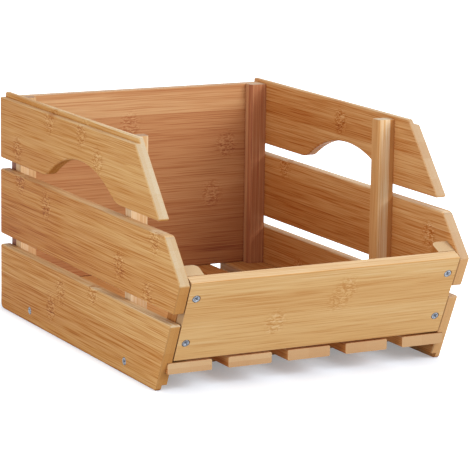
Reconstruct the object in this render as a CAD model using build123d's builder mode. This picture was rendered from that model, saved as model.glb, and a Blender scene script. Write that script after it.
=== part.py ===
"""Open-fronted bamboo storage box that stacks on its own kind.

Two slatted sides on glued posts carry a back panel, a leaning front board and a floor of five
slats. Millimetres. X runs to the right, Y to the back and Z up. The origin is on the ground, in
the middle of the overall width and depth. A depth is measured forward from the rear ends of the
side slats.
"""

from build123d import *
import os
from math import asin, atan2, cos, degrees, radians, sin, tan

os.makedirs("parts", exist_ok=True)

# Side slats
box_width = 270.0
slat_count = 3
slat_height = 60.0
slat_gap = 10.0
slat_thickness = 9.5
foot_depth = 326.0
nose_depth = 368.0
nose_height = 95.0
top_depth = 280.0
edge_ease = 0.8
corner_radius = 1.6
nose_radius = 2.5
shoulder_radius = 6.0
front_foot_radius = 4.0
rear_foot_radius = 5.0

# Stacking tongue on the top edge and the rabbet on the bottom edge that drops over it
tongue_height = 4.5
tongue_thickness = 4.5
stack_clearance = 0.5

# Hand hold in the lower edge of each top slat
handle_centre_depth = 175.0
handle_length = 160.0
handle_rise = 24.4
handle_end_radius = 28.0

# Posts
post_width = 16.0
post_depth = 11.0
post_radius = 3.0
middle_post_setback = 22.0
front_post_depth = 14.0
front_post_radius = 5.0
post_drop = 3.0

# Back panel
panel_thickness = 10.0
panel_inset = 4.0

# Front board
board_height = 77.0
board_thickness = 10.0
board_floor_gap = 1.5
board_end_gap = 0.5

# Floor
floor_slat_count = 5
floor_slat_width = 40.0
floor_slat_thickness = 9.0
floor_groove_depth = 4.5
floor_groove_clearance = 0.2
batten_thickness = 10.0
batten_width = 30.0
batten_ground_gap = 6.0
rear_batten_depth = 67.0
front_batten_depth = 266.0

# Countersunk screws
shank_radius = 1.75
head_radius = 3.6
head_cone = 90.0
recess_width = 0.9
recess_length = 3.8
recess_depth = 1.3
shank_clearance = 0.1
head_sink = 0.15
tip_clearance = 0.6
board_screw_length = 20.0
panel_screw_length = 18.0
side_screw_length = 20.0
board_screw_rise = 7.2
panel_screw_rise = 15.0

# Blind dowels between slats and posts
dowel_radius = 3.0
dowel_in_slat = 6.0
dowel_in_post = 12.0
dowel_clearance = 0.05
dowel_end_clearance = 0.5

# Derived places
box_height = slat_count * slat_height + (slat_count - 1) * slat_gap
inner_half = box_width / 2 - slat_thickness
step_height = box_height - tongue_height
rabbet_height = tongue_height + stack_clearance
tongue_plane = inner_half + tongue_thickness
rabbet_plane = tongue_plane + stack_clearance
post_top = box_height - post_drop
post_centre = inner_half - post_width / 2
middle_post_front_depth = top_depth - middle_post_setback
panel_front = panel_inset + panel_thickness
floor_bottom = batten_ground_gap + batten_thickness
floor_top = floor_bottom + floor_slat_thickness
floor_half = inner_half + floor_groove_depth
floor_pitch = (2 * floor_half - floor_slat_width) / (floor_slat_count - 1)
floor_slat_centres = [
    floor_slat_width / 2 - floor_half + number * floor_pitch for number in range(floor_slat_count)
]
board_bottom = floor_top + board_floor_gap
lean_angle = atan2(nose_depth - foot_depth, nose_height)
screw_hole_radius = shank_radius + shank_clearance
sides = (("left", -1), ("right", 1))


def front_depth(height):
    """Depth of the cut front ends of the side slats at a height."""
    if height <= nose_height:
        return foot_depth + (nose_depth - foot_depth) * height / nose_height
    rise = (height - nose_height) / (box_height - nose_height)
    return nose_depth + (top_depth - nose_depth) * rise


# The front board's eased top edge reaches a little past the nose
board_reach = (board_height - edge_ease) * sin(lean_angle) + edge_ease * (1 - cos(lean_angle))
box_depth = max(nose_depth, front_depth(board_bottom) + board_reach)


def at_depth(depth):
    """Y of a place that lies this far in front of the rear ends."""
    return box_depth / 2 - depth


def slat_bottom(level):
    """Height of the lower edge of a side slat, counted from 0 at the bottom."""
    return level * (slat_height + slat_gap)


def slat_outline(level):
    """Draws one side slat, seen from the side, into the active sketch."""
    low = slat_bottom(level)
    high = low + slat_height
    corners = [(at_depth(0), low), (at_depth(front_depth(low)), low)]
    if low < nose_height < high:
        corners.append((at_depth(nose_depth), nose_height))
    corners += [(at_depth(front_depth(high)), high), (at_depth(0), high)]
    Polygon(*corners, align=None)


def front_corner(sketch, row):
    """The frontmost corner in the bottom (0) or top (-1) row of a sketch's corners."""
    return sketch.vertices().group_by(Axis.Y)[row].sort_by(Axis.X)[0]


def rear_corner(sketch, row):
    """The rearmost corner in the bottom (0) or top (-1) row of a sketch's corners."""
    return sketch.vertices().group_by(Axis.Y)[row].sort_by(Axis.X)[-1]


def front_post_axis(height):
    """Depth of the middle of the leaning front post at a height."""
    return front_depth(height) - (board_thickness + front_post_depth / 2) / cos(lean_angle)


def side_face(sign):
    """Plane of a side's outer face, looking outward, with its local Y up."""
    return Plane(origin=(sign * box_width / 2, 0, 0), x_dir=(0, sign, 0), z_dir=(sign, 0, 0))


# Plane of the back panel's rear face, looking outward, with its local Y up
rear_face = Plane(origin=(0, at_depth(panel_inset), 0), x_dir=(-1, 0, 0), z_dir=(0, 1, 0))

# Plane of the front board's outer face, looking outward, with its local Y up the lean
front_plane = Plane(
    origin=(0, at_depth(front_depth(board_bottom)), board_bottom),
    x_dir=(1, 0, 0),
    z_dir=(0, -cos(lean_angle), -sin(lean_angle)),
)

# Where a dowel joins a slat to a post: (depth, height) seen from the side
lower_joint = (floor_top + slat_height) / 2
middle_joint = slat_bottom(1) + slat_height / 2
top_joint = slat_bottom(2) + slat_height / 2
front_joint = (slat_bottom(1) + nose_height) / 2
front_joint_heights = (lower_joint, front_joint)
rear_post_axis = panel_front + post_depth / 2
middle_post_axis = middle_post_front_depth - post_depth / 2
rear_joints = [(rear_post_axis, lower_joint), (rear_post_axis, middle_joint), (rear_post_axis, top_joint)]
middle_joints = [
    (middle_post_axis, lower_joint),
    (middle_post_axis, middle_joint),
    (middle_post_axis, top_joint),
]
front_joints = [(front_post_axis(height), height) for height in front_joint_heights]
dowel_hole_radius = dowel_radius + dowel_clearance
slat_hole_depth = dowel_in_slat + dowel_end_clearance
post_hole_depth = dowel_in_post + dowel_end_clearance


def joint_circles(joints, low, high):
    """Draws a dowel hole at each joint between two heights into the active side-view sketch."""
    for depth, height in joints:
        if low < height < high:
            with Locations((at_depth(depth), height)):
                Circle(dowel_hole_radius)


all_joints = rear_joints + middle_joints + front_joints

# Screw places: a little above the dowels, so that the two never meet in a post
axis_climb = (board_thickness + front_post_depth / 2) * sin(lean_angle)
board_screw_heights = [
    (height - board_bottom - axis_climb) / cos(lean_angle) + board_screw_rise for height in front_joint_heights
]
panel_screw_heights = [height + panel_screw_rise for height in (lower_joint, top_joint)]
batten_middle = batten_ground_gap + batten_thickness / 2
batten_depths = {"rear": rear_batten_depth, "front": front_batten_depth}


def pairs(heights):
    """Places level with both side posts at each height, seen from the front or the back."""
    return [(sign * post_centre, height) for side, sign in sides for height in heights]


# Side slats
for side, sign in sides:
    outer_plane = Plane.YZ.offset(sign * box_width / 2)
    inner_plane = Plane.YZ.offset(sign * inner_half)

    with BuildPart() as lower_slat:
        with BuildSketch(outer_plane) as outline:
            slat_outline(0)
            fillet(front_corner(outline, 0), front_foot_radius)
            fillet(rear_corner(outline, 0), rear_foot_radius)
            fillet(outline.vertices().group_by(Axis.Y)[-1], corner_radius)
        extrude(amount=-sign * slat_thickness)
        chamfer(lower_slat.faces().filter_by(Axis.X).edges(), edge_ease)
        with BuildSketch(inner_plane):
            with Locations((0, rabbet_height / 2)):
                Rectangle(2 * box_depth, rabbet_height)
        extrude(amount=sign * (rabbet_plane - inner_half), mode=Mode.SUBTRACT)
        with BuildSketch(inner_plane):
            with Locations((0, floor_bottom + (floor_slat_thickness + floor_groove_clearance) / 2)):
                Rectangle(2 * box_depth, floor_slat_thickness + floor_groove_clearance)
        extrude(amount=sign * (floor_groove_depth + floor_groove_clearance), mode=Mode.SUBTRACT)
        with BuildSketch(inner_plane):
            joint_circles(all_joints, 0, slat_height)
        extrude(amount=sign * slat_hole_depth, mode=Mode.SUBTRACT)
        with Locations(side_face(sign)):
            for batten_depth in batten_depths.values():
                with Locations((sign * at_depth(batten_depth), batten_middle)):
                    CounterSinkHole(screw_hole_radius, head_radius + head_sink, slat_thickness, head_cone)
    lower_slat.part.label = f"side_slat_{side}_lower"
    export_step(lower_slat.part, f"parts/side_slat_{side}_lower.step")

    with BuildPart() as middle_slat:
        with BuildSketch(outer_plane) as outline:
            slat_outline(1)
            fillet(front_corner(outline, -1), shoulder_radius)
            fillet(outline.vertices().sort_by(Axis.X)[0], nose_radius)
            fillet(outline.vertices().group_by(Axis.Y)[0], corner_radius)
            fillet(rear_corner(outline, -1), corner_radius)
        extrude(amount=-sign * slat_thickness)
        chamfer(middle_slat.faces().filter_by(Axis.X).edges(), edge_ease)
        with BuildSketch(inner_plane):
            joint_circles(all_joints, slat_bottom(1), slat_bottom(1) + slat_height)
        extrude(amount=sign * slat_hole_depth, mode=Mode.SUBTRACT)
    middle_slat.part.label = f"side_slat_{side}_middle"
    export_step(middle_slat.part, f"parts/side_slat_{side}_middle.step")

    # The hand hold is one crown arc between two arcs that run out level into the lower edge
    half_length = handle_length / 2
    centre_distance = (half_length**2 + handle_rise**2) / (2 * handle_rise)
    crown_radius = centre_distance - handle_end_radius
    turn = degrees(asin(half_length / centre_distance))
    handle_foot = slat_bottom(2)

    with BuildPart() as top_slat:
        with BuildSketch(outer_plane) as outline:
            slat_outline(2)
            fillet(outline.vertices(), corner_radius)
            with BuildLine():
                rear_curl = JernArc(
                    (at_depth(handle_centre_depth - half_length), handle_foot),
                    (-1, 0),
                    handle_end_radius,
                    -turn,
                )
                crown = JernArc(rear_curl @ 1, rear_curl % 1, crown_radius, 2 * turn)
                front_curl = JernArc(crown @ 1, crown % 1, handle_end_radius, -turn)
                Line(front_curl @ 1, rear_curl @ 0)
            make_face(mode=Mode.SUBTRACT)
        extrude(amount=-sign * slat_thickness)
        chamfer(top_slat.faces().filter_by(Axis.X).edges(), edge_ease)
        with BuildSketch(outer_plane):
            with Locations((0, step_height + tongue_height)):
                Rectangle(2 * box_depth, 2 * tongue_height)
        extrude(amount=-sign * (box_width / 2 - tongue_plane), mode=Mode.SUBTRACT)
        step_edges = top_slat.edges(Select.LAST).filter_by(Axis.Y)
        step_rim = step_edges.sort_by(Axis.X)[-1 if sign > 0 else 0]
        chamfer([step_edges.sort_by(Axis.Z)[-1], step_rim], edge_ease)
        with BuildSketch(inner_plane):
            joint_circles(all_joints, slat_bottom(2), box_height)
        extrude(amount=sign * slat_hole_depth, mode=Mode.SUBTRACT)
    top_slat.part.label = f"side_slat_{side}_top"
    export_step(top_slat.part, f"parts/side_slat_{side}_top.step")

# Upright posts, standing on the floor against the side slats
upright_posts = {
    "rear": (panel_front + post_depth, rear_joints),
    "middle": (middle_post_front_depth, middle_joints),
}
for side, sign in sides:
    inner_plane = Plane.YZ.offset(sign * inner_half)
    for place, (front_face_depth, joints) in upright_posts.items():
        with BuildPart() as post:
            with BuildSketch(Plane.XY.offset(floor_top)) as section:
                with Locations((sign * post_centre, at_depth(front_face_depth - post_depth / 2))):
                    Rectangle(post_width, post_depth)
                free_corners = section.vertices().group_by(Axis.Y)[0].sort_by(Axis.X)
                fillet(free_corners[0 if sign > 0 else -1], post_radius)
            extrude(amount=post_top - floor_top)
            with BuildSketch(inner_plane):
                joint_circles(joints, 0, box_height)
            extrude(amount=-sign * post_hole_depth, mode=Mode.SUBTRACT)
            if place == "rear":
                with Locations(Plane.XZ.offset(-at_depth(panel_front))):
                    with Locations(*[(sign * post_centre, height) for height in panel_screw_heights]):
                        Cylinder(
                            screw_hole_radius,
                            2 * (panel_screw_length - panel_thickness + tip_clearance),
                            mode=Mode.SUBTRACT,
                        )
        post.part.label = f"{place}_post_{side}"
        export_step(post.part, f"parts/{place}_post_{side}.step")

# Short posts behind the front board, leaning with it
for side, sign in sides:
    with BuildPart() as front_post:
        with BuildSketch(front_plane.offset(-board_thickness)):
            with Locations((sign * post_centre, 0)):
                Rectangle(post_width, 2 * board_height)
        extrude(amount=-front_post_depth)
        long_edges = front_post.edges().filter_by(Axis((0, 0, 0), front_plane.y_dir))
        inner_edges = long_edges.group_by(Axis.X)[0 if sign > 0 else -1]
        fillet(inner_edges.sort_by(Axis.Y)[-1], front_post_radius)
        split(bisect_by=Plane.XY.offset(floor_top), keep=Keep.TOP)
        with BuildSketch(Plane.YZ.offset(sign * inner_half)):
            joint_circles(front_joints, 0, box_height)
        extrude(amount=-sign * post_hole_depth, mode=Mode.SUBTRACT)
        with Locations(front_plane.offset(-board_thickness)):
            with Locations(*[(sign * post_centre, height) for height in board_screw_heights]):
                Cylinder(
                    screw_hole_radius,
                    2 * (board_screw_length - board_thickness + tip_clearance),
                    mode=Mode.SUBTRACT,
                )
    front_post.part.label = f"front_post_{side}"
    export_step(front_post.part, f"parts/front_post_{side}.step")

# Back panel, standing on the floor slats between the sides
with BuildPart() as back_panel:
    with BuildSketch(Plane.XZ.offset(-at_depth(panel_inset))):
        with Locations((0, (floor_top + post_top) / 2)):
            Rectangle(2 * inner_half, post_top - floor_top)
    extrude(amount=panel_thickness)
    fillet(back_panel.edges().filter_by(Axis.X), edge_ease)
    with Locations(rear_face):
        with Locations(*pairs(panel_screw_heights)):
            CounterSinkHole(screw_hole_radius, head_radius + head_sink, panel_thickness, head_cone)
back_panel.part.label = "back_panel"
export_step(back_panel.part, "parts/back_panel.step")

# Front board, flush with the cut ends of the side slats
with BuildPart() as front_board:
    with BuildSketch(front_plane):
        with Locations((0, board_height / 2)):
            Rectangle(2 * (inner_half - board_end_gap), board_height)
    extrude(amount=-board_thickness)
    fillet(front_board.edges().filter_by(Axis.X), edge_ease)
    with Locations(front_plane):
        with Locations(*pairs(board_screw_heights)):
            CounterSinkHole(screw_hole_radius, head_radius + head_sink, board_thickness, head_cone)
front_board.part.label = "front_board"
export_step(front_board.part, "parts/front_board.step")

# Floor slats from the back panel's rear face to the front board's outer face. The outer two are let
# into the grooves of the lower side slats.
floor_front = front_depth(board_bottom)
floor_length = floor_front - panel_inset
for number, slat_centre in enumerate(floor_slat_centres, 1):
    with BuildPart() as floor_slat:
        with BuildSketch(Plane.XY.offset(floor_bottom)):
            with Locations((slat_centre, at_depth((floor_front + panel_inset) / 2))):
                Rectangle(floor_slat_width, floor_length)
        extrude(amount=floor_slat_thickness)
        chamfer(floor_slat.edges().filter_by(Axis.Y), edge_ease)
    floor_slat.part.label = f"floor_slat_{number}"
    export_step(floor_slat.part, f"parts/floor_slat_{number}.step")

# Battens under the floor, glued to the floor slats and screwed to the sides from outside
for place, batten_depth in batten_depths.items():
    with BuildPart() as batten:
        with BuildSketch(Plane.XY.offset(batten_ground_gap)):
            with Locations((0, at_depth(batten_depth))):
                Rectangle(2 * inner_half, batten_width)
        extrude(amount=batten_thickness)
        chamfer(batten.edges().filter_by(Axis.X), edge_ease)
        for sign in (-1, 1):
            with Locations(Plane.YZ.offset(sign * inner_half)):
                with Locations((at_depth(batten_depth), batten_middle)):
                    Cylinder(
                        screw_hole_radius,
                        2 * (side_screw_length - slat_thickness + tip_clearance),
                        mode=Mode.SUBTRACT,
                    )
    batten.part.label = f"floor_batten_{place}"
    export_step(batten.part, f"parts/floor_batten_{place}.step")


def screw(length):
    """Cross-recess countersunk screw with its head up on the XY plane, pointing down."""
    head_height = (head_radius - shank_radius) / tan(radians(head_cone / 2))
    tip_height = 2 * shank_radius
    with BuildPart() as body:
        with BuildSketch(Plane.XZ):
            Polygon(
                (0, 0),
                (head_radius, 0),
                (shank_radius, -head_height),
                (shank_radius, tip_height - length),
                (0, -length),
                align=None,
            )
        revolve(axis=Axis.Z)
        with BuildSketch(Plane.XY):
            Rectangle(recess_length, recess_width)
            Rectangle(recess_width, recess_length)
        extrude(amount=-recess_depth, mode=Mode.SUBTRACT)
    return body.part


# Screws, each kind one node of separate solids with heads just under the surface
board_screw = screw(board_screw_length - head_sink)
with BuildPart() as front_board_screws:
    with Locations(front_plane.offset(-head_sink)):
        with Locations(*pairs(board_screw_heights)):
            add(board_screw)
front_board_screws.part.label = "front_board_screws"
export_step(front_board_screws.part, "parts/front_board_screws.step")

panel_screw = screw(panel_screw_length - head_sink)
with BuildPart() as back_panel_screws:
    with Locations(rear_face.offset(-head_sink)):
        with Locations(*pairs(panel_screw_heights)):
            add(panel_screw)
back_panel_screws.part.label = "back_panel_screws"
export_step(back_panel_screws.part, "parts/back_panel_screws.step")

side_screw = screw(side_screw_length - head_sink)
with BuildPart() as side_slat_screws:
    for side, sign in sides:
        with Locations(side_face(sign).offset(-head_sink)):
            for batten_depth in batten_depths.values():
                with Locations((sign * at_depth(batten_depth), batten_middle)):
                    add(side_screw)
side_slat_screws.part.label = "side_slat_screws"
export_step(side_slat_screws.part, "parts/side_slat_screws.step")

# Dowels, half in a slat and the rest in a post
with BuildPart() as slat_dowels:
    for side, sign in sides:
        with BuildSketch(Plane.YZ.offset(sign * (inner_half + dowel_in_slat))):
            for depth, height in all_joints:
                with Locations((at_depth(depth), height)):
                    Circle(dowel_radius)
        extrude(amount=-sign * (dowel_in_slat + dowel_in_post))
slat_dowels.part.label = "slat_dowels"
export_step(slat_dowels.part, "parts/slat_dowels.step")
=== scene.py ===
"""Looks of a bamboo storage box: board grain, cut ends, seams, screws and a plain pale studio."""

from collections import namedtuple
from math import radians

import bpy
import numpy as np
from mathutils import Euler, Matrix, Vector


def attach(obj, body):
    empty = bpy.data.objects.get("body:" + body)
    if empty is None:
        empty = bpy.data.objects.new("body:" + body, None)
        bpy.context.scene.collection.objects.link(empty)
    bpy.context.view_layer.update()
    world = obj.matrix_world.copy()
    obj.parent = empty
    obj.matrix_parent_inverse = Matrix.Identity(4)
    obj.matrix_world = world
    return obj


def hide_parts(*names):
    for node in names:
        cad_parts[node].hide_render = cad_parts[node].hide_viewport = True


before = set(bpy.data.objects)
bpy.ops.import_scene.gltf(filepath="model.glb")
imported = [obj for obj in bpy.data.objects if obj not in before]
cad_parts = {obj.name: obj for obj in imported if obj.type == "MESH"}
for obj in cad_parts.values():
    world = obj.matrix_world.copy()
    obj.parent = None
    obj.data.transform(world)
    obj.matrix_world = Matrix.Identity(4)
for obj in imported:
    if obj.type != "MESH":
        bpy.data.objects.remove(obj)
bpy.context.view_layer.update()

bl_info = {
    "name": "Bamboo storage box",
    "version": (1, 0, 0),
    "blender": (4, 5, 0),
    "location": "3D View > Sidebar > Storage box",
    "description": "Finishes the boards, posts, floor and screws of a slatted bamboo box",
    "category": "Object",
}

MM = 0.001


def linear(code):
    """A linear colour from an sRGB hex value such as #C49A66."""
    parts = np.array([int(code[place : place + 2], 16) for place in (1, 3, 5)]) / 255
    low = parts / 12.92
    high = ((parts + 0.055) / 1.055) ** 2.4
    return tuple(np.where(parts <= 0.04045, low, high))


def colour(name, code, description):
    """A colour property whose default is an sRGB hex value."""
    return bpy.props.FloatVectorProperty(
        name=name, description=description, subtype="COLOR", size=3, min=0, max=1, default=linear(code)
    )


def length(name, size, description):
    """A length property with a default in metres."""
    return bpy.props.FloatProperty(
        name=name, description=description, unit="LENGTH", precision=4, min=0, default=size
    )


def share(name, size, description, highest=1.0):
    """A plain number property."""
    return bpy.props.FloatProperty(name=name, description=description, min=0, max=highest, default=size)


class BambooFinish(bpy.types.PropertyGroup):
    """Colours and grain sizes of the bamboo."""

    # Cream is also the colour that the painted sheen on edges that face up leans to
    cream: colour("Cream", "#EAD9B8", "Bleached edges, and the cut end of a pale strip")
    straw: colour("Straw", "#DAB27A", "Palest strips")
    honey: colour("Honey", "#C69257", "Ordinary strips")
    amber: colour("Amber", "#B27338", "Dark strips and the streaks in ordinary ones")
    chestnut: colour("Chestnut", "#944F22", "Darkest strips, and the marks at a knot")
    umber: colour("Umber", "#562712", "Thin dark lines in the darkest strips")
    dash: length("Dash width", 0.42 * MM, "Width of the dark dashes that the fibre bundles draw")
    dash_length: length("Dash length", 30 * MM, "Length of the dark dashes")
    streak: length("Streak width", 2.0 * MM, "Width of the soft streaks")
    knot_length: length("Knot length", 10.5 * MM, "Half the length of a knot mark, along the grain")
    knot_width: length("Knot width", 12.5 * MM, "Half the width of a knot mark, across the grain")
    glue_line: length("Glue line", 0.3 * MM, "Width of the thin line between two strips")
    # Painted light: a cut end is painted darker and duller unless it faces down
    painted_end_light: share("Greyed ends", 0.26, "How much darker and duller a cut end is unless it faces down")
    # The seam darkening is partly the dark of real joints and partly painted shade
    seam: length("Seam reach", 4 * MM, "How far a neighbouring piece darkens a seam")
    grime_and_shade: share("Seam grime", 0.35, "How much darker a seam is")
    relief: length("Fibre relief", 0.08 * MM, "Height of the fibres in the planed face")
    # Painted sheen: how much paler and duller an edge that faces up is painted
    painted_sheen: share("Bleached edges", 0.16, "How much paler an edge is that faces up")


class ScrewFinish(bpy.types.PropertyGroup):
    """Sizes and colours of the countersunk screws."""

    zinc: colour("Zinc", "#9A9EA4", "Blue passivated zinc plating")
    stain: colour("Stain", "#686D76", "Duller patches of the plating")
    # Painted shade: the dark colour of the cross and the rim of a screw head
    shade: colour("Shade", "#262A36", "Plating deep in the cross and at the worn rim")
    pitch: length("Thread pitch", 1.5 * MM, "Rise of the thread in one turn")
    core: length("Thread core", 1.15 * MM, "Radius at the root of the thread")
    recess_reach: length("Recess reach", 1.95 * MM, "Distance from the middle to an arm's end")
    recess_width: length("Recess width", 1.0 * MM, "Width of an arm of the cross")
    recess_depth: length("Recess depth", 1.5 * MM, "Depth of the cross at its middle")


class StudioSetting(bpy.types.PropertyGroup):
    """Floor and lamps."""

    paper: colour("Paper", "#E0E9F4", "White floor, as the camera sees it")
    bounce: colour("Bounce", "#BCBCBC", "How much light the floor throws back on the box")
    ambient: share("Ambient", 0.6, "Strength of the even light from all round", 5.0)
    key: share("Key lamp", 62.0, "Power of the large lamp in front on the right, in watts", 1000.0)
    fill: share("Fill lamp", 27.0, "Power of the large lamp on the left, in watts", 1000.0)
    top: share("Top lamp", 32.0, "Power of the large lamp overhead, in watts", 1000.0)
    glow: share("Floor glow", 0.28, "Light that the floor adds for the camera, so that it turns white", 5.0)
    side_start: length("Side start", 0.13, "Distance to the side from which the floor turns white")
    side_end: length("Side end", 0.16, "Distance to the side at which the floor is white")
    front_start: length("Front start", 0.18, "Distance to the front from which the floor turns white")
    front_end: length("Front end", 0.28, "Distance to the front at which the floor is white")
    floor_radius: length("Floor radius", 12.0, "Radius of the round floor")


# Directions of grain: along the fibres, across the strips and through the thickness
BOARD_LEAN = radians(23.85)
UP_THE_LEAN = (0, -np.sin(BOARD_LEAN), np.cos(BOARD_LEAN))
GRAIN = {
    "slat": ((0, -1, 0), (0, 0, 1), (-1, 0, 0)),
    "floor": ((0, -1, 0), (1, 0, 0), (0, 0, 1)),
    "post": ((0, 0, 1), (1, 0, 0), (0, 1, 0)),
    "cross": ((1, 0, 0), (0, 0, 1), (0, -1, 0)),
    "batten": ((1, 0, 0), (0, 1, 0), (0, 0, 1)),
    "leaning": ((1, 0, 0), UP_THE_LEAN, (0, -np.cos(BOARD_LEAN), -np.sin(BOARD_LEAN))),
    "leaning_post": (UP_THE_LEAN, (1, 0, 0), (0, np.cos(BOARD_LEAN), np.sin(BOARD_LEAN))),
}

# A tone runs from 0, cream, to 1, umber. A board's strips are (start across the grain in mm, tone), and
# its knots (along, across) in mm from its rear, left or lower end. Its plies are the tone added to the
# near and far half through the thickness. Its ends are painted light: the tone added to a cut end that
# faces down and to one that faces up, as the lamps light them. Its drift is painted shade: the tone added
# at the rear, left or lower end and at the other, darker towards the end that lies more in shade. Its
# figure is the strength of its dashes and knots, and its cast the hue and saturation of its culm.
EVEN = (0.0, 0.0)
PLAIN = (0.5, 1.0)
GOLDEN = (0.5, 1.05)
ROSY = (0.495, 0.92)
PALE = (0.498, 0.92)
RUDDY = (0.496, 1.0)
RED = (0.493, 1.03)
WINE = (0.490, 0.90)
Board = namedtuple(
    "Board", "grain strips knots plies ends drift figure cast", defaults=((), EVEN, EVEN, EVEN, 1.0, PLAIN)
)

# Painted light: each side's cut ends take their own tones, as the lamps light the two sides differently
LEFT_SIDE = {"ends": (0.23, -0.04), "cast": GOLDEN}
RIGHT_SIDE = {"plies": (0.0, 0.04), "ends": (0.08, 0.06), "cast": RED}
POST_ENDS = (0.10, 0.04)
FLOOR_ENDS = (0.10, -0.02)
FLOOR = {"ends": FLOOR_ENDS, "figure": 0.8, "cast": RUDDY}
FRONT_POST = Board("leaning_post", ((0, 0.55),), ends=(0.10, -0.08), figure=0.6)

BOARDS = {
    "side_slat_left_top": Board(
        "slat",
        ((0, 0.38), (19, 0.33), (38, 0.36)),
        ((112, 50), (211, 29), (40, 12), (178, 48)),
        plies=(-0.08, 0.0),
        drift=(0.12, -0.01),
        figure=0.85,
        **LEFT_SIDE,
    ),
    "side_slat_left_middle": Board(
        "slat",
        ((0, 0.43), (17, 0.38), (37, 0.34), (50, 0.38)),
        ((46, 56), (104, 43), (322, 54), (255, 20), (309, 4)),
        plies=(0.06, 0.0),
        drift=(0.19, -0.01),
        **LEFT_SIDE,
    ),
    "side_slat_left_lower": Board(
        "slat",
        ((0, 0.38), (11, 0.42), (34, 0.34)),
        ((135, 43), (115, 24), (202, 57)),
        plies=(0.06, 0.0),
        drift=(0.09, -0.02),
        **LEFT_SIDE,
    ),
    "side_slat_right_top": Board(
        "slat",
        ((0, 0.37), (14, 0.33), (30, 0.44), (42, 0.35)),
        ((165, 42),),
        drift=(0.04, -0.10),
        figure=1.05,
        **RIGHT_SIDE,
    ),
    "side_slat_right_middle": Board(
        "slat",
        ((0, 0.44), (24, 0.40), (44, 0.34)),
        ((64, 56), (318, 36)),
        drift=(0.02, -0.10),
        **RIGHT_SIDE,
    ),
    "side_slat_right_lower": Board(
        "slat",
        ((0, 0.38), (20, 0.34), (40, 0.37)),
        ((95, 30),),
        drift=(0.0, -0.04),
        **RIGHT_SIDE,
    ),
    "rear_post_left": Board("post", ((0, 0.16), (8, 0.24)), ends=(0.4, 0.4), figure=0.6, cast=PALE),
    "rear_post_right": Board(
        "post",
        (
            (0, 0.38),
            (1.6, 0.29),
            (3.4, 0.35),
            (5.2, 0.27),
            (7.2, 0.34),
            (9.2, 0.26),
            (11.2, 0.35),
            (13.2, 0.26),
            (14.8, 0.28),
        ),
        plies=(0.23, 0.0),
        ends=POST_ENDS,
        figure=0.6,
        cast=WINE,
    ),
    "middle_post_left": Board("post", ((0, 0.12), (6, 0.16)), ends=(0.4, 0.35), figure=0.6, cast=PALE),
    "middle_post_right": Board(
        "post",
        (
            (0, 0.32),
            (1.4, 0.14),
            (3.2, 0.10),
            (5.2, 0.12),
            (7.2, 0.02),
            (9, 0.08),
            (11.6, 0.38),
            (13.2, 0.46),
        ),
        ends=POST_ENDS,
        figure=0.6,
        cast=RUDDY,
    ),
    "front_post_left": FRONT_POST,
    "front_post_right": FRONT_POST,
    # Painted shade: the panel darkens towards its right end, inside the box
    "back_panel": Board(
        "cross",
        (
            (0, 0.54),
            (20, 0.50),
            (42, 0.49),
            (65, 0.44),
            (86, 0.45),
            (107, 0.45),
            (128, 0.44),
            (147, 0.31),
            (167, 0.40),
        ),
        ((215, 115), (200, 69), (114, 139), (60, 50)),
        ends=(0.75, 0.4),
        drift=(-0.01, 0.09),
        figure=0.75,
        cast=ROSY,
    ),
    "front_board": Board(
        "leaning",
        ((0, 0.27), (15, 0.22), (37, 0.29), (61, 0.22), (76.2, 0.36)),
        ((86, 29), (142, 47), (146, 56)),
        ends=(0.4, 0.0),
        figure=0.6,
    ),
    "floor_slat_1": Board("floor", ((0, 0.32), (20, 0.36)), ((150, 10),), (0.16, 0.02), **FLOOR),
    "floor_slat_2": Board("floor", ((0, 0.40), (20, 0.36)), ((80, 30),), (0.20, 0.0), **FLOOR),
    "floor_slat_3": Board("floor", ((0, 0.34), (20, 0.40)), ((210, 12),), (0.20, 0.16), **FLOOR),
    "floor_slat_4": Board("floor", ((0, 0.40), (20, 0.36)), ((120, 28),), (0.20, 0.16), **FLOOR),
    "floor_slat_5": Board("floor", ((0, 0.32), (20, 0.36)), ((60, 12),), (0.16, 0.14), **FLOOR),
    "floor_batten_rear": Board("batten", ((0, 0.44), (15, 0.40)), ((90, 15),), ends=FLOOR_ENDS, figure=0.8),
    "floor_batten_front": Board("batten", ((0, 0.40), (15, 0.43)), ((170, 15),), ends=FLOOR_ENDS, figure=0.8),
}


def vertices(piece):
    """The places of a mesh's vertices as one array."""
    places = np.empty(3 * len(piece.data.vertices), np.float32)
    piece.data.vertices.foreach_get("co", places)
    return places.reshape(-1, 3).astype(float)


def new_material(name):
    """An empty material and its node tree."""
    made = bpy.data.materials.new(name)
    made.use_nodes = True
    made.node_tree.nodes.clear()
    return made, made.node_tree


def node(tree, kind, inputs=None, stops=(), **settings):
    """Adds a node. inputs maps a socket to a value, a node or a node's output; stops are a ramp's."""
    made = tree.nodes.new("ShaderNode" + kind)
    for name, value in settings.items():
        setattr(made, name, value)
    for name, value in (inputs or {}).items():
        if isinstance(value, bpy.types.Node):
            value = value.outputs[0]
        if isinstance(value, bpy.types.NodeSocket):
            tree.links.new(value, made.inputs[name])
        else:
            made.inputs[name].default_value = value
    for number, (place, tint) in enumerate(stops):
        elements = made.color_ramp.elements
        element = elements[number] if number < len(elements) else elements.new(place)
        element.position = place
        element.color = (*tint, 1) if isinstance(tint, tuple) else (tint, tint, tint, 1)
    return made


# A smooth step. Its node reads 0: value, 1: from start, 2: from end, 3: to low, 4: to high.
SMOOTH = {"interpolation_type": "SMOOTHSTEP"}

# Steps between the slices of the patterns that boards, strips and plies read
BOARD_STEP = 17.0
STRIP_STEP = 731.0
PLY_STEP = 57.0

# How much darker a glue line is than the strips beside it
GLUE_TONE = 0.12

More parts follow.
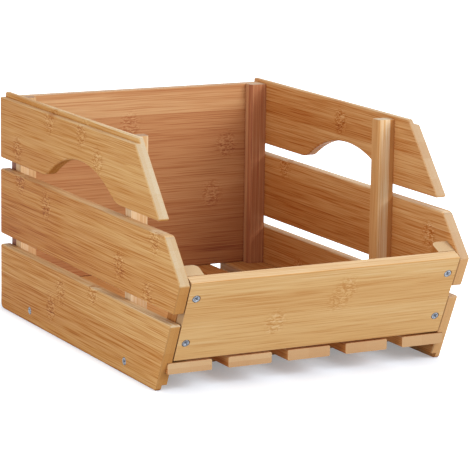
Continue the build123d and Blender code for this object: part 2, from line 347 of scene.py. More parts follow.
# The ragged edge of a knot's mark has bays of about 2 mm, which push it in and out over these shares of
# its half length and half width. Its flecks are about 2 mm long and 0.7 mm wide, and add tones from
# pale to dark. A board without a knot reads a distance far beyond every mark.
KNOT_RAGGED = 0.3
KNOT_PUSH = (0.9, 0.5, 0)
FLECK_STEP = (0.24, 0.72, 1)
FLECK_PALE, FLECK_DARK = -0.13, 0.23
NO_KNOT = 9.0

# Fibres wander across the grain in waves of about 80 mm along it, and the waves are this high in mm far
# from a knot and beside one
SWAY_STEP = (0.012, 0.03, 1)
SWAY_FAR, SWAY_NEAR = 0.3, 5.0

# Where an effect starts and where it is full, as sockets 1 and 2 of a smooth step. These two are
# distances from a knot, and 1 is the edge of its mark.
KNOT_RANGE = {1: 1.35, 2: 0.5}
SWAY_RANGE = {1: 1.8, 2: 0.5}

# The same for values of noise
DASH_RANGE = {1: 0.53, 2: 0.66}
FLECK_RANGE = {1: 0.40, 2: 0.60}
DOT_RANGE = {1: 0.3, 2: 0.75}
ROUGH_RANGE = {1: 0.3, 2: 0.7}

# The same for the share round a place that its neighbours leave open
SEAM_RANGE = {1: 0.6, 2: 0.15}

# The same for how squarely a face looks along the fibres or across the strips, and then for how far
# up it looks, where less than 0 is down
END_RANGE = {1: 0.4, 2: 0.66}
EDGE_RANGE = {1: 0.5, 2: 0.8}
SUNLIT_RANGE = {1: 0.3, 2: 0.8}
UPPER_RANGE = {1: -0.4, 2: 0.3}
END_FACING_RANGE = {1: -0.7, 2: 0.3}

# The painted light on cut ends and the painted sheen on edges that face up take these multiples of their
# own strength from the saturation, and the sheen takes the third from the brightness
END_LIGHT_DULLS, SHEEN_DULLS, SHEEN_DARKENS = 0.5, 0.7, 0.8

# Roughness of the oiled face between the fibre bundles and on them
SMOOTHEST, ROUGHEST = 0.46, 0.58

# A fine dash has these shares of a dash's width and length, a streak is this many times as long as a
# dash, and clouds are soft patches of this size in mm
FINE_WIDTH, FINE_LENGTH = 0.5, 0.8
STREAK_LENGTH = 4
CLOUD_WIDTH, CLOUD_LENGTH = 16.0, 60.0

# Tones that the patterns add at full figure. Dashes only darken, and the rest go both ways.
DASH_TONE = 0.13
BUNDLE_TONE, FINE_TONE, STREAK_TONE, CLOUD_TONE = 0.32, 0.42, 0.16, 0.15

# Waves per mm of the bundles' dots on a cut end, and the tones they add. Real dots are 0.2 to 0.4 mm
# wide, and these are 0.3 mm.
DOT_SCALE = 1.6
DOT_PALE, DOT_DARK = -0.04, 0.05

# A cut end shows this share of its board's tone
END_SHARE = 0.5

# Waves of noise per metre, each twice as wide as the spots it draws: the lines along a dowel and round
# it, the patches of the zinc, and the tooth of the paper
DOWEL_LINES = (90.0, 1400.0, 1400.0)
ZINC_PATCHES = 900.0
PAPER_TOOTH = 700.0


def measure(tree, axes, low):
    """The coordinates, and the place in a board in mm: along the fibres, across the strips and through."""
    point = node(tree, "TexCoord")
    turned = Matrix(axes.T.tolist()).to_euler()
    inputs = {"Vector": point.outputs["Object"], "Location": axes.T @ low, "Rotation": turned}
    place = node(tree, "Mapping", {**inputs, "Scale": (MM, MM, MM)}, vector_type="TEXTURE")
    return point, place


def strip_stops(strips, width, glue):
    """Stops across a board: the tone of each strip, and a thin darker glue line between two."""
    stops = [(0.0, strips[0][1])]
    for (start, tone), (_, before) in zip(strips[1:], strips[:-1]):
        stops.append(((start - glue / 2) / width, (tone + before) / 2 + GLUE_TONE))
        stops.append(((start + glue / 2) / width, tone))
    return stops


def strip_tones(tree, name, measures, size, look):
    """The tone of each strip and ply of a board, and the number of its slice of the patterns."""
    board = BOARDS[name]
    along, across, through = measures
    height = node(tree, "Math", {0: across, 1: size[1]}, operation="DIVIDE")
    stops = strip_stops(board.strips, size[1], look.glue_line / MM)
    strip = node(tree, "ValToRGB", {0: height}, stops=stops)
    strip.color_ramp.interpolation = "CONSTANT"
    if len(stops) == 1:
        strip.color_ramp.elements[1].color = strip.color_ramp.elements[0].color
    near, far = board.plies
    half = node(tree, "Math", {0: through, 1: size[2] / 2}, operation="GREATER_THAN")
    ply = node(tree, "MapRange", {0: half, 3: near, 4: far})
    # Painted shade: the tone grows darker towards the end of the board that lies more in shade
    rear, front = board.drift
    drift = node(tree, "MapRange", {0: along, 1: 0.0, 2: size[0], 3: rear, 4: front}, **SMOOTH)
    base = node(tree, "Math", {0: strip, 1: ply}, operation="ADD")
    base = node(tree, "Math", {0: base, 1: drift}, operation="ADD")

    board_number = BOARD_STEP * (list(BOARDS).index(name) + 1)
    number = node(tree, "Math", {0: strip, 1: STRIP_STEP, 2: board_number}, operation="MULTIPLY_ADD")
    number = node(tree, "Math", {0: half, 1: PLY_STEP, 2: number}, operation="MULTIPLY_ADD")
    return base, number


def nearest_knot(tree, grain_place, knots, look):
    """Ragged distance from the nearest knot, 1 at the edge of its mark."""
    noise = {"Vector": grain_place, "Scale": KNOT_RAGGED, "Detail": 2.0, "Roughness": 0.6}
    ragged = node(tree, "TexNoise", noise).outputs["Color"]
    size = (MM / look.knot_length, MM / look.knot_width, 0)
    scaled = node(tree, "VectorMath", {0: grain_place, 1: size}, operation="MULTIPLY")
    pushed = node(tree, "VectorMath", {0: ragged, 1: KNOT_PUSH, 2: scaled}, operation="MULTIPLY_ADD")
    nearest = NO_KNOT
    for along, across in knots:
        centre = (along * size[0] + KNOT_PUSH[0] / 2, across * size[1] + KNOT_PUSH[1] / 2, 0)
        distance = node(tree, "VectorMath", {0: pushed, 1: centre}, operation="DISTANCE").outputs["Value"]
        nearest = node(tree, "Math", {0: nearest, 1: distance}, operation="MINIMUM")
    return nearest


def wandering_fibres(tree, grain_place, measures, number, nearest):
    """The place in a board, swayed a little across the grain, and more beside a knot."""
    along, across, through = measures
    sway_place = node(tree, "VectorMath", {0: grain_place, 1: SWAY_STEP}, operation="MULTIPLY")
    sway = node(tree, "TexNoise", {"Vector": sway_place, "Scale": 1.0, "Detail": 1.0})
    centred = node(tree, "Math", {0: sway, 1: 0.5}, operation="SUBTRACT")
    high = node(tree, "MapRange", {0: nearest, **SWAY_RANGE, 3: SWAY_FAR, 4: SWAY_NEAR}, **SMOOTH)
    reach = node(tree, "Math", {0: centred, 1: high}, operation="MULTIPLY")
    swayed = node(tree, "Math", {0: reach, 1: across}, operation="ADD")
    deep = node(tree, "Math", {0: through, 1: number}, operation="ADD")
    return node(tree, "CombineXYZ", {0: along, 1: swayed, 2: deep})


def drawn_noise(tree, place, width, length_along, detail):
    """Noise drawn out along the fibres, with features of this width and length in mm."""
    step = (0.5 / length_along, 0.5 / width, 0.5 / width)
    drawn = node(tree, "VectorMath", {0: place, 1: step}, operation="MULTIPLY")
    return node(tree, "TexNoise", {"Vector": drawn, "Scale": 1.0, "Detail": detail, "Roughness": 0.55})


def facing(tree, normal, axis):
    """How squarely a face looks along an axis, either way, from 0 to 1."""
    turned = node(tree, "VectorMath", {0: normal, 1: tuple(axis)}, operation="DOT_PRODUCT")
    return node(tree, "Math", {0: turned.outputs["Value"]}, operation="ABSOLUTE")


def laminated_bamboo(name, places, look):
    """Laminated bamboo, planed and oiled.

    Strips of one culm each lie side by side and in two plies, so the tone changes in straight steps
    with a hair-thin glue line between. Fibre bundles draw short dark dashes along each strip over
    soft streaks, a knot crosses a strip as a patch of curled pale and brown flecks, and a cut end
    shows pale and even, with the fine dots of its bundles. Real bundles are about 0.3 mm wide, and
    the dashes are drawn at 0.42 mm, so that they show. The oil leaves a soft, low gloss. Light and
    shade are painted into the colour too: a sheen on edges that face up, tones on cut ends by which
    way they face, shade in the seams and a darker end of a board that lies in shade.
    """
    board = BOARDS[name]
    made, tree = new_material(f"laminated_bamboo_{name}")
    axes = np.array(GRAIN[board.grain], float)
    spread = places @ axes.T
    low = spread.min(axis=0)
    size = (spread.max(axis=0) - low) / MM
    point, place = measure(tree, axes, low)
    measures = node(tree, "SeparateXYZ", {0: place}).outputs

    # Each strip and ply has its own fibres, so each reads another slice of the patterns
    base, number = strip_tones(tree, name, measures, size, look)
    grain_place = node(tree, "CombineXYZ", {0: measures[0], 1: measures[1], 2: number})
    nearest = nearest_knot(tree, grain_place, board.knots, look)
    knot = node(tree, "MapRange", {0: nearest, **KNOT_RANGE, 4: board.figure}, **SMOOTH)
    fibre_place = wandering_fibres(tree, grain_place, measures, number, nearest)

    # Dark dashes, their finer neighbours, and soft streaks and clouds
    dash, dash_length = look.dash / MM, look.dash_length / MM
    bundle = drawn_noise(tree, fibre_place, dash, dash_length, 1.0)
    fine = drawn_noise(tree, fibre_place, FINE_WIDTH * dash, FINE_LENGTH * dash_length, 2.0)
    streak = drawn_noise(tree, fibre_place, look.streak / MM, STREAK_LENGTH * dash_length, 2.0)
    cloud = drawn_noise(tree, fibre_place, CLOUD_WIDTH, CLOUD_LENGTH, 2.0)
    dashes = node(tree, "MapRange", {0: bundle, **DASH_RANGE, 4: DASH_TONE * board.figure}, **SMOOTH)
    tone = node(tree, "Math", {0: base, 1: dashes}, operation="ADD")
    patterns = ((bundle, BUNDLE_TONE), (fine, FINE_TONE), (streak, STREAK_TONE), (cloud, CLOUD_TONE))
    for pattern, weight in patterns:
        centred = node(tree, "Math", {0: pattern, 1: 0.5}, operation="SUBTRACT")
        strength = weight * board.figure
        tone = node(tree, "Math", {0: centred, 1: strength, 2: tone}, operation="MULTIPLY_ADD")

    # Curled pale and brown flecks in a knot
    curl_place = node(tree, "VectorMath", {0: grain_place, 1: FLECK_STEP}, operation="MULTIPLY")
    curl = node(tree, "TexNoise", {"Vector": curl_place, "Scale": 1.0, "Detail": 2.5, "Distortion": 1.1})
    flecks = node(tree, "MapRange", {0: curl, **FLECK_RANGE, 3: FLECK_PALE, 4: FLECK_DARK}, **SMOOTH)
    tone = node(tree, "Math", {0: knot, 1: flecks, 2: tone}, operation="MULTIPLY_ADD")

    # Painted sheen: edges that face up are paler and duller
    normal = point.outputs["Normal"]
    upward = node(tree, "SeparateXYZ", {0: normal}).outputs["Z"]
    edge = node(tree, "MapRange", {0: facing(tree, normal, axes[1]), **EDGE_RANGE}, **SMOOTH)
    sunlit = node(tree, "MapRange", {0: upward, **SUNLIT_RANGE, 4: look.painted_sheen}, **SMOOTH)
    sheen_lift = node(tree, "Math", {0: sunlit, 1: edge}, operation="MULTIPLY")
    tone = node(tree, "Math", {0: tone, 1: sheen_lift}, operation="SUBTRACT")

    # Cut ends are even, with dots. Painted light: their tone changes with which way they face, and unless
    # they face down they are painted duller and darker
    end = node(tree, "MapRange", {0: facing(tree, normal, axes[0]), **END_RANGE}, **SMOOTH)
    down, up = board.ends
    added = node(tree, "MapRange", {0: upward, **UPPER_RANGE, 3: down, 4: up}, **SMOOTH)
    end_tone = node(tree, "Math", {0: base, 1: END_SHARE, 2: added}, operation="MULTIPLY_ADD")
    noise = node(tree, "TexNoise", {"Vector": place, "Scale": DOT_SCALE, "Detail": 2.0, "Roughness": 0.6})
    dots = node(tree, "MapRange", {0: noise, **DOT_RANGE, 3: DOT_PALE, 4: DOT_DARK}, **SMOOTH)
    end_tone = node(tree, "Math", {0: end_tone, 1: dots}, operation="ADD")
    tone = node(tree, "Mix", {"Factor": end, "A": tone, "B": end_tone})
    end_facing_light = node(tree, "MapRange", {0: upward, **END_FACING_RANGE, 4: look.painted_end_light}, **SMOOTH)
    painted_end_light = node(tree, "Math", {0: end, 1: end_facing_light}, operation="MULTIPLY")

    # Seams and hollows that neighbouring pieces close in are darker: partly the dark of real joints, partly
    # painted shade
    open_share = node(tree, "AmbientOcclusion", {"Distance": look.seam}, samples=4).outputs["AO"]
    grime_and_shade = node(tree, "MapRange", {0: open_share, **SEAM_RANGE, 4: look.grime_and_shade}, **SMOOTH)
    tone = node(tree, "Math", {0: tone, 1: grime_and_shade}, operation="ADD")

    # The tone becomes a colour, which is duller where light is painted on cut ends and on edges that face up
    tints = (look.cream, look.straw, look.honey, look.amber, look.chestnut, look.umber)
    stops = [(step / (len(tints) - 1), tuple(tint)) for step, tint in enumerate(tints)]
    colours = node(tree, "ValToRGB", {0: tone}, stops=stops)
    hue, full = board.cast
    duller = node(tree, "Math", {0: painted_end_light, 1: -END_LIGHT_DULLS * full, 2: full}, operation="MULTIPLY_ADD")
    faded = {0: sheen_lift, 1: -SHEEN_DULLS * full, 2: duller}
    saturation = node(tree, "Math", faded, operation="MULTIPLY_ADD")
    darker = node(tree, "Math", {0: 1.0, 1: painted_end_light}, operation="SUBTRACT")
    value = node(tree, "Math", {0: sheen_lift, 1: -SHEEN_DARKENS, 2: darker}, operation="MULTIPLY_ADD")
    cast = {"Color": colours, "Hue": hue, "Saturation": saturation, "Value": value}
    colours = node(tree, "HueSaturation", cast)

    rough = node(tree, "MapRange", {0: bundle, **ROUGH_RANGE, 3: SMOOTHEST, 4: ROUGHEST}, **SMOOTH)
    height = node(tree, "Math", {0: bundle, 1: fine}, operation="ADD")
    bump = node(tree, "Bump", {"Height": height, "Strength": 0.5, "Distance": look.relief})
    shader = {"Base Color": colours, "Roughness": rough, "Normal": bump}
    surface = node(tree, "BsdfPrincipled", {**shader, "IOR": 1.5, "Specular IOR Level": 0.12})
    node(tree, "OutputMaterial", {"Surface": surface})
    return made


def birch_dowel(look):
    """Turned birch, left raw: pale and matt, with fine lines 6 mm long and 0.4 mm wide along the rod."""
    made, tree = new_material("birch_dowel")
    point = node(tree, "TexCoord").outputs["Object"]
    drawn = node(tree, "VectorMath", {0: point, 1: DOWEL_LINES}, operation="MULTIPLY")
    lines = node(tree, "TexNoise", {"Vector": drawn, "Scale": 1.0, "Detail": 2.0})
    colours = node(tree, "ValToRGB", {0: lines}, stops=((0.3, tuple(look.cream)), (0.75, tuple(look.honey))))
    bump = node(tree, "Bump", {"Height": lines, "Strength": 0.4, "Distance": look.relief})
    shader = {"Base Color": colours, "Roughness": 0.7, "Normal": bump, "IOR": 1.5}
    surface = node(tree, "BsdfPrincipled", shader)
    node(tree, "OutputMaterial", {"Surface": surface})
    return made


def zinc_plated_steel(name, bright, dull):
    """Zinc plating, blue passivated: a cool metal with cloudy, slightly duller patches.

    The clouds are 0.5 mm wide, coarser than the plating's own crystals, so that they show.
    """
    made, tree = new_material(name)
    point = node(tree, "TexCoord").outputs["Object"]
    noise = {"Vector": point, "Scale": ZINC_PATCHES, "Detail": 3.0, "Roughness": 0.6}
    patches = node(tree, "TexNoise", noise)
    colours = node(tree, "ValToRGB", {0: patches}, stops=((0.35, tuple(bright)), (0.7, tuple(dull))))
    rough = node(tree, "MapRange", {0: patches, 1: 0.3, 2: 0.7, 3: 0.24, 4: 0.42})
    surface = node(tree, "BsdfPrincipled", {"Base Color": colours, "Metallic": 1.0, "Roughness": rough})
    node(tree, "OutputMaterial", {"Surface": surface})
    return made


def steel_materials(look):
    """The plating of a screw's outside, and a darker copy for its cross and rim that paints shade, made once.
    """
    wanted = (
        ("zinc_plated_steel", look.zinc, look.stain),
        ("zinc_plated_steel_dull", look.stain, look.shade),
    )
    return [
        bpy.data.materials.get(name) or zinc_plated_steel(name, bright, dull) for name, bright, dull in wanted
    ]


def direct_ray(tree):
    """1 for what the camera sees itself or through a mirror or glass, and 0 for light thrown back."""
    ray = node(tree, "LightPath").outputs
    seen = node(tree, "Math", {0: ray["Is Camera Ray"], 1: ray["Is Glossy Ray"]}, operation="MAXIMUM")
    return node(tree, "Math", {0: seen, 1: ray["Is Transmission Ray"]}, operation="MAXIMUM")


def white_paper(setting):
    """White seamless paper: matt, and lifted for the camera by a glow: a little near the box, where its
    shadow stays, and to white farther out, which paints out the shadow there.

    Its tooth is drawn 0.7 mm wide, coarser than real paper's, so that it shows.
    """
    made, tree = new_material("white_paper")
    point = node(tree, "TexCoord").outputs["Object"]
    tooth = node(tree, "TexNoise", {"Vector": point, "Scale": PAPER_TOOTH, "Detail": 2.0})
    bump = node(tree, "Bump", {"Height": tooth, "Strength": 0.1, "Distance": 0.05 * MM})
    matt = node(tree, "BsdfDiffuse", {"Color": (*setting.bounce, 1), "Normal": bump})
    shown = node(tree, "BsdfDiffuse", {"Color": (*setting.paper, 1), "Normal": bump})
    sideways, forward, _ = node(tree, "SeparateXYZ", {0: point}).outputs
    # Painted light: the glow grows to full beyond a window round the box, which paints out any shadow there
    strength = setting.glow
    for place, start, end in (
        (sideways, setting.side_start, setting.side_end),
        (forward, setting.front_start, setting.front_end),
    ):
        distance = node(tree, "Math", {0: place}, operation="ABSOLUTE")
        faded = node(tree, "MapRange", {0: distance, 1: start, 2: end, 3: setting.glow}, **SMOOTH)
        strength = node(tree, "Math", {0: strength, 1: faded}, operation="MAXIMUM")
    glow = node(tree, "Emission", {"Color": (1, 1, 1, 1), "Strength": strength})
    lifted = node(tree, "AddShader", {0: shown, 1: glow})
    surface = node(tree, "MixShader", {0: direct_ray(tree), 1: matt, 2: lifted})
    node(tree, "OutputMaterial", {"Surface": surface})
    return made


def finish_board(name, look):
    """Gives a board of the frame its own bamboo."""
    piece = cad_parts[name]
    made = laminated_bamboo(name, vertices(piece), look)
    for place in piece.material_slots:
        place.material = made


def finish_boards(context, words):
    """Finishes every board whose name starts with one of the words."""
    found = [name for name in BOARDS if name.startswith(words)]
    if not found:
        raise RuntimeError(f"no board is named {words}")
    for name in found:
        finish_board(name, context.scene.bamboo_finish)


def mesh_piece(name, places, faces, materials):
    """A smooth mesh object from vertex places, faces and its materials."""
    mesh = bpy.data.meshes.new(name)
    mesh.from_pydata(places.tolist(), [], faces)
    for material in materials:
        mesh.materials.append(material)
    mesh.polygons.foreach_set("use_smooth", np.ones(len(mesh.polygons), bool))
    mesh.update()
    piece = bpy.data.objects.new(name, mesh)
    bpy.context.scene.collection.objects.link(piece)
    return piece


# A head's rim stays this far inside the countersink, and a thread's crests have this radius
RIM_PLAY = 0.15 * MM
CREST_RADIUS = 1.7 * MM

# Shares of a head's radius: the slope of the cross's walls, and where the rounded rim starts to fall
WALL_SHARE = 0.05
RIM_START = 0.82
RIM_FALL = 0.1 * MM

# An arm's end is shallower than the middle of the cross by this share
ARM_RISE = 0.7

# The head's upright edge above its cone, and the bare tip below the last ring, which is never narrower
# than a share of the thread
HEAD_EDGE = 0.1 * MM
TIP_LENGTH = 0.2 * MM
TIP_SHARE = 0.02

# The thread's ridge takes this share of the pitch, and each turn has this many rings of points
RIDGE_SHARE = 0.5
RINGS_PER_TURN = 6

# Points this close to the farthest from a tip lie on the ring round the head
RING_PLAY = 0.005 * MM


def screw_surface(head_radius, shank_radius, depth, look):
    """Vertices and faces of one screw, head up on the XY plane, and which faces are painted with shade.

    The head is a square grid drawn into a disc, x = u root(1 - v v / 2) and the same for y, sunk
    inside a cross whose arms get shallower outwards. Its rim is carried down a profile: a cone to
    the shank, and then a radius that rises from core to crest once in each turn and pitch, and
    shrinks to a point over the last two shank radii. The faces painted with shade are those in its
    cross and those of its rounded rim, which take the darker copy of the plating.
    """
    reach = look.recess_reach / head_radius
    arm = look.recess_width / 2 / head_radius
    lines = np.array([arm - WALL_SHARE, arm, reach - WALL_SHARE, reach, RIM_START, 1.0])
    lines = np.concatenate([-lines[::-1], [0.0], lines])
    u, v = np.meshgrid(lines, lines)
    top = np.stack([u * np.sqrt(1 - v**2 / 2), v * np.sqrt(1 - u**2 / 2)], axis=-1) * head_radius
    long_way = np.maximum(np.abs(u), np.abs(v))
    short_way = np.minimum(np.abs(u), np.abs(v))
    inside = (short_way < arm - WALL_SHARE / 2) & (long_way < reach - WALL_SHARE / 2)
    rim_corners = long_way > (RIM_START + 1) / 2
    fall = look.recess_depth * (1 - ARM_RISE * long_way / reach)
    heights = -np.where(inside, fall, RIM_FALL * rim_corners)
    head = np.concatenate([top, heights[..., None]], axis=-1).reshape(-1, 3)

    numbers = np.arange(lines.size**2).reshape(lines.size, -1)
    rim = np.concatenate([numbers[0, :-1], numbers[:-1, -1], numbers[-1, :0:-1], numbers[:0:-1, 0]])
    corners = [numbers[:-1, :-1], numbers[:-1, 1:], numbers[1:, 1:], numbers[1:, :-1]]
    faces = np.stack(corners, -1).reshape(-1, 4)
    # Painted shade: the faces in the cross and on the rim take the darker copy of the plating
    deep = inside.ravel()[faces].sum(axis=1) >= 2
    shaded = rim_corners.ravel()[faces].sum(axis=1) >= 2

    angles = np.arctan2(head[rim, 1], head[rim, 0])
    start = -(head_radius - shank_radius + HEAD_EDGE)
    rings = np.arange(start, -depth + TIP_LENGTH, -look.pitch / RINGS_PER_TURN)
    phase = (rings[:, None] / look.pitch + angles[None, :] / (2 * np.pi)) % 1
    crest = np.clip(1 - np.abs(2 * phase - 1) / RIDGE_SHARE, 0, 1)
    grown = np.clip((start - rings) / look.pitch, 0, 1)[:, None]
    radius = look.core + (shank_radius - look.core) * (1 - grown + grown * crest)
    radius = radius * np.clip((depth + rings) / (2 * shank_radius), TIP_SHARE, 1)[:, None]
    levels = np.repeat(rings[:, None], len(rim), axis=1)
    walls = np.stack([radius * np.cos(angles), radius * np.sin(angles), levels], axis=-1).reshape(-1, 3)
    places = np.concatenate([head, walls, [[0, 0, -depth]]])

    rows = np.concatenate([rim[None], len(head) + np.arange(len(walls)).reshape(len(rings), -1)])
    after = np.roll(rows, -1, axis=1)
    sides = np.stack([rows[:-1], rows[1:], after[1:], after[:-1]], axis=-1).reshape(-1, 4)
    point = np.full(len(rim), len(places) - 1)
    tip = np.stack([rows[-1], point, after[-1]], axis=-1)
    dull = np.concatenate([deep | shaded, np.zeros(len(sides) + len(tip), bool)])
    return places, faces.tolist() + sides.tolist() + tip.tolist(), dull


def screw_places(name, second_axis):
    """Head centre, outward direction, depth and head radius of each screw in a node of the frame.

    The node's vertices fall into one group for each side and each half along second_axis. In a group
    the tip lies farthest from the widest part, and the head is the ring farthest from the tip.
    """
    places = vertices(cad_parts[name])
    middle = (places.min(axis=0) + places.max(axis=0)) / 2
    groups = (places[:, 0] > middle[0]) * 2 + (places[:, second_axis] > middle[second_axis])
    found = []
    for group in range(4):
        points = places[groups == group]
        centre = points.mean(axis=0)
        spread = np.linalg.svd(points - centre, full_matrices=False)[2][0]
        lengths = (points - centre) @ spread
        radii = np.linalg.norm(points - centre - lengths[:, None] * spread, axis=1)
        head_end = np.sign(lengths[np.argmax(radii)])
        tip = points[np.argmin(head_end * lengths)]
        distances = np.linalg.norm(points - tip, axis=1)
        head = np.unique(points[distances > distances.max() - RING_PLAY].round(6), axis=0)
        crown = head.mean(axis=0)
        depth = np.linalg.norm(crown - tip)
        found.append((crown, (crown - tip) / depth, depth, np.linalg.norm(head - crown, axis=1).max()))
    return found


def make_screws(context, name, second_axis, turns):
    """Replaces a group of plain screws by threaded ones with a sunk cross, each turned as it was driven."""
    look = context.scene.screw_finish
    all_places, all_faces, all_shaded = [], [], []
    start = 0
    for (crown, outward, depth, head_radius), turn in zip(screw_places(name, second_axis), turns):
        places, faces, dull = screw_surface(head_radius - RIM_PLAY, CREST_RADIUS, depth, look)
        across = np.cross((0, 0, 1), outward)
        across /= np.linalg.norm(across)
        frame_axes = np.stack([across, np.cross(outward, across), outward])
        spin = np.array(Matrix.Rotation(radians(turn), 3, "Z"))
        all_places.append(places @ spin.T @ frame_axes + crown)
        all_faces += [[start + corner for corner in face] for face in faces]
        all_shaded.append(dull)
        start += len(places)
    piece = mesh_piece(f"threaded_{name}", np.concatenate(all_places), all_faces, steel_materials(look))
    # The faces in the cross and on the rim take the second material, painted shade
    piece.data.polygons.foreach_set("material_index", np.concatenate(all_shaded).astype(np.int32))
    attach(piece, "root")
    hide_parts(name)


# Where each lamp hangs, and how wide it is
LAMPS = {
    "key": ((1.3, -2.3, 1.6), 1.6),
    "fill": ((-2.6, -1.0, 0.9), 1.6),
    "top": ((0.0, 0.6, 3.2), 5.5),
}
LAMP_AIM = (0, 0, 0.1)

# The floor has this many points in a ring, and this many rings, closer together near its middle
FLOOR_POINTS, FLOOR_RINGS = 96, 8

# The camera's lens and sensor in mm, its turns in degrees, and its aim and distance in metres
LENS, SENSOR = 188.7, 36.0
TURN, PITCH, ROLL = 27.875, 11.479, 0.912
AIM = (0.00723, -0.00569, 0.09186)
DISTANCE = 2.1525


def lay_floor(setting):
    """A round floor: rings of points at growing distances from the middle, level with the box's foot."""
    angles = np.linspace(0, 2 * np.pi, FLOOR_POINTS, endpoint=False)
    radii = setting.floor_radius * np.linspace(0, 1, FLOOR_RINGS + 1)[1:] ** 2
    ring = np.stack([np.cos(angles), np.sin(angles), np.zeros_like(angles)], axis=-1)
    places = np.concatenate([np.zeros((1, 3)), (radii[:, None, None] * ring).reshape(-1, 3)])
    rows = 1 + np.arange(len(radii) * len(angles)).reshape(len(radii), -1)
    after = np.roll(rows, -1, axis=1)
    quads = np.stack([rows[:-1], rows[1:], after[1:], after[:-1]], axis=-1).reshape(-1, 4)
    middle = np.stack([np.zeros_like(rows[0]), rows[0], after[0]], axis=-1)
    floor = mesh_piece("studio_floor", places, middle.tolist() + quads.tolist(), [white_paper(setting)])


def light_world(scene, setting):
    """Even white light all round, and plain white behind the box."""
    world = bpy.data.worlds.new("studio")
    scene.world = world
    world.use_nodes = True
    tree = world.node_tree
    tree.nodes.clear()
    strength = node(tree, "MapRange", {0: direct_ray(tree), 3: setting.ambient, 4: 1.0})
    light = node(tree, "Background", {"Color": (1, 1, 1, 1), "Strength": strength})
    node(tree, "OutputWorld", {"Surface": light})


def hang_lamp(name, place, size, power):
    """A large square lamp that faces the middle of the box."""
    lamp = bpy.data.lights.new(name, "AREA")
    lamp.shape = "SQUARE"
    lamp.size = size
    lamp.energy = power
    hung = bpy.data.objects.new(name, lamp)
    hung.location = place
    hung.rotation_euler = (Vector(LAMP_AIM) - Vector(place)).to_track_quat("-Z", "Y").to_euler()
    bpy.context.scene.collection.objects.link(hung)


def place_camera(scene):
    """A long lens, seen from the front on the left and a little above."""
    lens = bpy.data.cameras.new("camera")
    lens.lens = LENS
    lens.sensor_width = SENSOR
    camera = bpy.data.objects.new("camera", lens)
    turned = Euler((radians(90 - PITCH), 0, radians(-TURN)), "XYZ").to_matrix()
    look = turned @ Matrix.Rotation(radians(ROLL), 3, "Z")
    camera.rotation_euler = look.to_euler()
    camera.location = Vector(AIM) + look @ Vector((0, 0, DISTANCE))
    scene.collection.objects.link(camera)
    scene.camera = camera


class STORAGEBOX_OT_side_slats(bpy.types.Operator):
    """Finish the six side slats"""

    bl_idname = "storage_box.side_slats"
    bl_label = "Side slats"

    def execute(self, context):
        finish_boards(context, "side_slat")
        return {"FINISHED"}


class STORAGEBOX_OT_posts(bpy.types.Operator):
    """Finish the six posts inside the box"""

    bl_idname = "storage_box.posts"
    bl_label = "Posts"

    def execute(self, context):
        finish_boards(context, ("rear_post", "middle_post", "front_post"))
        return {"FINISHED"}


class STORAGEBOX_OT_back_panel(bpy.types.Operator):
    """Finish the back panel"""

    bl_idname = "storage_box.back_panel"
    bl_label = "Back panel"

    def execute(self, context):
        finish_boards(context, "back_panel")
        return {"FINISHED"}


class STORAGEBOX_OT_front_board(bpy.types.Operator):
    """Finish the leaning front board"""

    bl_idname = "storage_box.front_board"
    bl_label = "Front board"

    def execute(self, context):
        finish_boards(context, "front_board")
        return {"FINISHED"}


class STORAGEBOX_OT_floor(bpy.types.Operator):
    """Finish the floor slats and their battens"""

    bl_idname = "storage_box.floor"
    bl_label = "Floor"

    def execute(self, context):
        finish_boards(context, "floor")
        return {"FINISHED"}


class STORAGEBOX_OT_dowels(bpy.types.Operator):
    """Finish the dowels hidden between slats and posts"""

    bl_idname = "storage_box.dowels"
    bl_label = "Dowels"

    def execute(self, context):
        made = birch_dowel(context.scene.bamboo_finish)
        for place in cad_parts["slat_dowels"].material_slots:
            place.material = made
        return {"FINISHED"}


class STORAGEBOX_OT_screws(bpy.types.Operator):
    """Make the screws of the front board, the sides and the back panel"""

    bl_idname = "storage_box.screws"
    bl_label = "Screws"

    def execute(self, context):
        make_screws(context, "front_board_screws", 2, (38, 52, 40, 28))
        make_screws(context, "side_slat_screws", 1, (10, 75, 33, 60))
        make_screws(context, "back_panel_screws", 2, (20, 65, 48, 5))
        return {"FINISHED"}


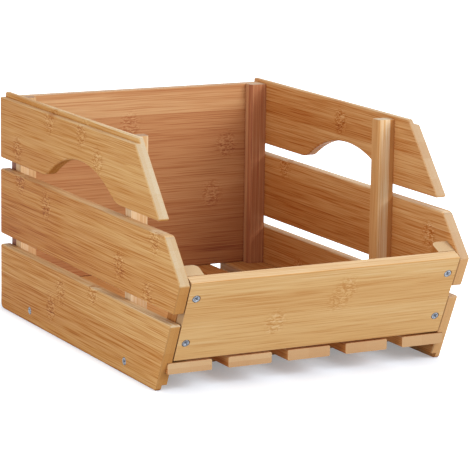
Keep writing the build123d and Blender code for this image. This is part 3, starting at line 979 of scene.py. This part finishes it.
class STORAGEBOX_OT_stage(bpy.types.Operator):
    """Make the floor, the lamps and the camera"""

    bl_idname = "storage_box.stage"
    bl_label = "Studio"

    def execute(self, context):
        setting = context.scene.studio_setting
        lay_floor(setting)
        light_world(context.scene, setting)
        for name, (place, size) in LAMPS.items():
            hang_lamp(f"{name}_lamp", place, size, getattr(setting, name))
        place_camera(context.scene)
        context.scene.view_settings.view_transform = "Standard"
        return {"FINISHED"}


GROUPS = {"bamboo_finish": BambooFinish, "screw_finish": ScrewFinish, "studio_setting": StudioSetting}
OPERATORS = (
    STORAGEBOX_OT_side_slats,
    STORAGEBOX_OT_posts,
    STORAGEBOX_OT_back_panel,
    STORAGEBOX_OT_front_board,
    STORAGEBOX_OT_floor,
    STORAGEBOX_OT_dowels,
    STORAGEBOX_OT_screws,
    STORAGEBOX_OT_stage,
)


class STORAGEBOX_PT_pieces(bpy.types.Panel):
    """Lists the operators that make the box's pieces, and their settings"""

    bl_idname = "STORAGEBOX_PT_pieces"
    bl_label = "Storage box"
    bl_space_type = "VIEW_3D"
    bl_region_type = "UI"
    bl_category = "Storage box"

    def draw(self, context):
        for operator in OPERATORS:
            self.layout.operator(operator.bl_idname)
        for group in GROUPS:
            settings = getattr(context.scene, group)
            for name in GROUPS[group].__annotations__:
                self.layout.prop(settings, name)


def register():
    """Registers the classes and hangs the settings on the scene."""
    for shown in (*GROUPS.values(), *OPERATORS, STORAGEBOX_PT_pieces):
        bpy.utils.register_class(shown)
    for name, group in GROUPS.items():
        setattr(bpy.types.Scene, name, bpy.props.PointerProperty(type=group))


def unregister():
    """Takes the settings off the scene and unregisters the classes."""
    for name in GROUPS:
        delattr(bpy.types.Scene, name)
    for shown in (STORAGEBOX_PT_pieces, *reversed(OPERATORS), *GROUPS.values()):
        bpy.utils.unregister_class(shown)


def main():
    """Makes every piece and the studio."""
    register()
    bpy.ops.storage_box.side_slats()
    bpy.ops.storage_box.posts()
    bpy.ops.storage_box.back_panel()
    bpy.ops.storage_box.front_board()
    bpy.ops.storage_box.floor()
    bpy.ops.storage_box.dowels()
    bpy.ops.storage_box.screws()
    bpy.ops.storage_box.stage()


if __name__ == "__main__":
    main()
